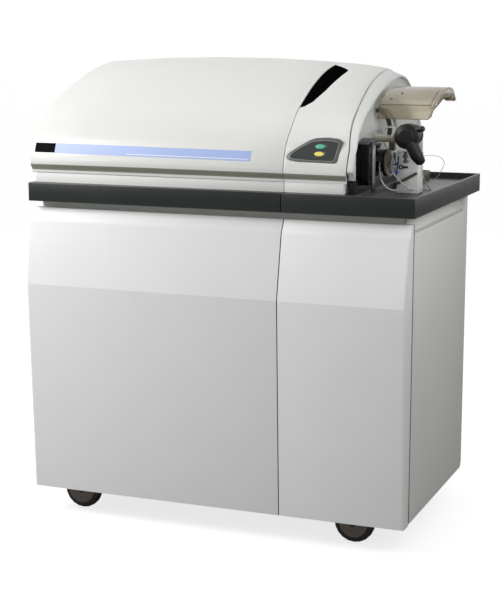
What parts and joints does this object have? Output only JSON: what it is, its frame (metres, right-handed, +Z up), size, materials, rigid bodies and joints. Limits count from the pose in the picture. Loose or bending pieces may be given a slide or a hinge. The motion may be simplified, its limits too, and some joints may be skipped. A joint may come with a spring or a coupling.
{
  "type": "icp mass spectrometer",
  "caption": "Floor-standing mass spectrometer on casters: cabinet with doors, dark worktop, lift-up curved hoods and an open sample bay under a visor.",
  "frame": {"origin": "on the floor, under the middle of the whole box", "axes": "+X to the instrument's right seen from the front, +Y to its back, +Z up"},
  "size_m": [1.24, 0.83, 1.4389],
  "materials": {
    "argon_tube": "satin tube",
    "chamber_cover": "machined",
    "chassis_frame": "powder coat",
    "control_bezel": "dark satin",
    "coolant_hose": "ribbed black",
    "detector_housing": "brushed",
    "drain_trough": "brown matt",
    "drain_tube": "clear tube",
    "electronics_rack": "powder coat",
    "end_panel": "pale grey",
    "end_rail": "black",
    "front_left_fork": "black",
    "front_left_wheel": "dark grey tread",
    "front_right_fork": "black",
    "front_right_wheel": "dark grey tread",
    "green_button": "satin green",
    "injector_adaptor": "beige",
    "interface_block": "machined",
    "left_door": "pale grey satin",
    "left_hood": "warm white satin",
    "left_plinth": "pale grey",
    "left_side_panel": "grey satin",
    "left_turbo_pump": "cast and machined",
    "left_worktop": "dark grey",
    "load_coil": "bright copper",
    "main_switch": "black",
    "mains_inlet": "black",
    "nebulizer": "black",
    "neck_frame": "dark grey",
    "pump_housing": "black ribbed",
    "pump_lever": "black",
    "pump_rotor": "bronze grey",
    "pump_track": "black",
    "pump_tube": "clear tube",
    "rear_left_fork": "black",
    "rear_left_wheel": "dark grey tread",
    "rear_panel": "grey",
    "rear_right_fork": "black",
    "rear_right_wheel": "dark grey tread",
    "rf_generator": "plated sheet",
    "right_door": "pale grey satin",
    "right_hood": "warm white satin",
    "right_plinth": "pale grey",
    "right_side_panel": "grey satin",
    "right_tray": "dark grey",
    "right_turbo_pump": "cast and machined",
    "rinse_tube": "clear tube",
    "sample_capillary": "pale pink tube",
    "sampler_cone": "nickel",
    "spray_chamber": "black",
    "torch": "clear quartz",
    "torch_box": "plated sheet",
    "vacuum_chamber": "machined",
    "valve_block": "white",
    "valve_lever": "black",
    "viewing_window": "dark tinted",
    "visor": "smoked translucent",
    "visor_rod": "bright",
    "yellow_button": "satin yellow"
  },
  "bodies": {
    "cabinet": {"argon_tube": "argon_tube", "chamber_cover": "chamber_cover", "chassis_frame": "chassis_frame", "coolant_hose": "coolant_hose", "detector_housing": "detector_housing", "drain_trough": "drain_trough", "drain_tube": "drain_tube", "electronics_rack": "electronics_rack", "end_panel": "end_panel", "end_rail": "end_rail", "injector_adaptor": "injector_adaptor", "interface_block": "interface_block", "left_plinth": "left_plinth", "left_side_panel": "left_side_panel", "left_turbo_pump": "left_turbo_pump", "left_worktop": "left_worktop", "load_coil": "load_coil", "mains_inlet": "mains_inlet", "nebulizer": "nebulizer", "neck_frame": "neck_frame", "pump_housing": "pump_housing", "pump_track": "pump_track", "pump_tube": "pump_tube", "rear_panel": "rear_panel", "rf_generator": "rf_generator", "right_plinth": "right_plinth", "right_side_panel": "right_side_panel", "right_tray": "right_tray", "right_turbo_pump": "right_turbo_pump", "rinse_tube": "rinse_tube", "sample_capillary": "sample_capillary", "sampler_cone": "sampler_cone", "spray_chamber": "spray_chamber", "torch": "torch", "torch_box": "torch_box", "vacuum_chamber": "vacuum_chamber", "valve_block": "valve_block", "visor_rod": "visor_rod"},
    "left_hood": {"left_hood": "left_hood"},
    "right_hood": {"right_hood": "right_hood", "viewing_window": "viewing_window", "control_bezel": "control_bezel"},
    "green_button": {"green_button": "green_button"},
    "yellow_button": {"yellow_button": "yellow_button"},
    "visor": {"visor": "visor"},
    "left_door": {"left_door": "left_door"},
    "right_door": {"right_door": "right_door"},
    "pump_rotor": {"pump_rotor": "pump_rotor"},
    "pump_lever": {"pump_lever": "pump_lever"},
    "valve_lever": {"valve_lever": "valve_lever"},
    "main_switch": {"main_switch": "main_switch"},
    "front_left_fork": {"front_left_fork": "front_left_fork"},
    "front_left_wheel": {"front_left_wheel": "front_left_wheel"},
    "front_right_fork": {"front_right_fork": "front_right_fork"},
    "front_right_wheel": {"front_right_wheel": "front_right_wheel"},
    "rear_left_fork": {"rear_left_fork": "rear_left_fork"},
    "rear_left_wheel": {"rear_left_wheel": "rear_left_wheel"},
    "rear_right_fork": {"rear_right_fork": "rear_right_fork"},
    "rear_right_wheel": {"rear_right_wheel": "rear_right_wheel"}
  },
  "joints": [
    {"name": "left_hood_lift", "type": "hinge", "parent": "cabinet", "child": "left_hood", "pos_m": [0, 0.4075, 1.1105], "axis": [-1, 0, 0], "range_deg": [0, 60]},
    {"name": "right_hood_lift", "type": "hinge", "parent": "cabinet", "child": "right_hood", "pos_m": [0, 0.4075, 1.1105], "axis": [-1, 0, 0], "range_deg": [0, 60]},
    {"name": "visor_lift", "type": "hinge", "parent": "cabinet", "child": "visor", "pos_m": [0, 0.1685, 1.319], "axis": [-1, 0, 0], "range_deg": [0, 60]},
    {"name": "left_door_swing", "type": "hinge", "parent": "cabinet", "child": "left_door", "pos_m": [-0.609, -0.355, 0], "axis": [0, 0, -1], "range_deg": [0, 95]},
    {"name": "right_door_swing", "type": "hinge", "parent": "cabinet", "child": "right_door", "pos_m": [0.597, -0.355, 0], "axis": [0, 0, 1], "range_deg": [0, 95]},
    {"name": "green_press", "type": "slide", "parent": "right_hood", "child": "green_button", "axis": [0, 0.9042, -0.427], "range_m": [0, 0.002], "stiffness_N_per_m": 500, "springref_m": -0.001},
    {"name": "yellow_press", "type": "slide", "parent": "right_hood", "child": "yellow_button", "axis": [0, 0.9042, -0.427], "range_m": [0, 0.002], "stiffness_N_per_m": 500, "springref_m": -0.001},
    {"name": "front_left_swivel", "type": "hinge", "parent": "cabinet", "child": "front_left_fork", "pos_m": [-0.4615, -0.285, 0], "axis": [0, 0, 1], "continuous": true},
    {"name": "front_left_roll", "type": "hinge", "parent": "front_left_fork", "child": "front_left_wheel", "pos_m": [-0.499, -0.285, 0.0625], "axis": [0, 1, 0], "continuous": true},
    {"name": "front_right_swivel", "type": "hinge", "parent": "cabinet", "child": "front_right_fork", "pos_m": [0.4615, -0.285, 0], "axis": [0, 0, 1], "continuous": true},
    {"name": "front_right_roll", "type": "hinge", "parent": "front_right_fork", "child": "front_right_wheel", "pos_m": [0.424, -0.285, 0.0625], "axis": [0, 1, 0], "continuous": true},
    {"name": "rear_left_swivel", "type": "hinge", "parent": "cabinet", "child": "rear_left_fork", "pos_m": [-0.4615, 0.215, 0], "axis": [0, 0, 1], "continuous": true},
    {"name": "rear_left_roll", "type": "hinge", "parent": "rear_left_fork", "child": "rear_left_wheel", "pos_m": [-0.499, 0.215, 0.0625], "axis": [0, 1, 0], "continuous": true},
    {"name": "rear_right_swivel", "type": "hinge", "parent": "cabinet", "child": "rear_right_fork", "pos_m": [0.4615, 0.215, 0], "axis": [0, 0, 1], "continuous": true},
    {"name": "rear_right_roll", "type": "hinge", "parent": "rear_right_fork", "child": "rear_right_wheel", "pos_m": [0.424, 0.215, 0.0625], "axis": [0, 1, 0], "continuous": true},
    {"name": "rotor_spin", "type": "hinge", "parent": "cabinet", "child": "pump_rotor", "pos_m": [0, -0.1, 1.137], "axis": [1, 0, 0], "continuous": true},
    {"name": "clamp_lift", "type": "hinge", "parent": "cabinet", "child": "pump_lever", "pos_m": [0, -0.159, 1.19], "axis": [1, 0, 0], "range_deg": [0, 75]},
    {"name": "valve_turn", "type": "hinge", "parent": "cabinet", "child": "valve_lever", "pos_m": [0.493, -0.085, 1.124], "axis": [0, -1, 0], "range_deg": [0, 90]},
    {"name": "mains_rock", "type": "hinge", "parent": "cabinet", "child": "main_switch", "pos_m": [0.45, 0.3046, 0.3], "axis": [1, 0, 0], "range_deg": [0, 20]}
  ]
}
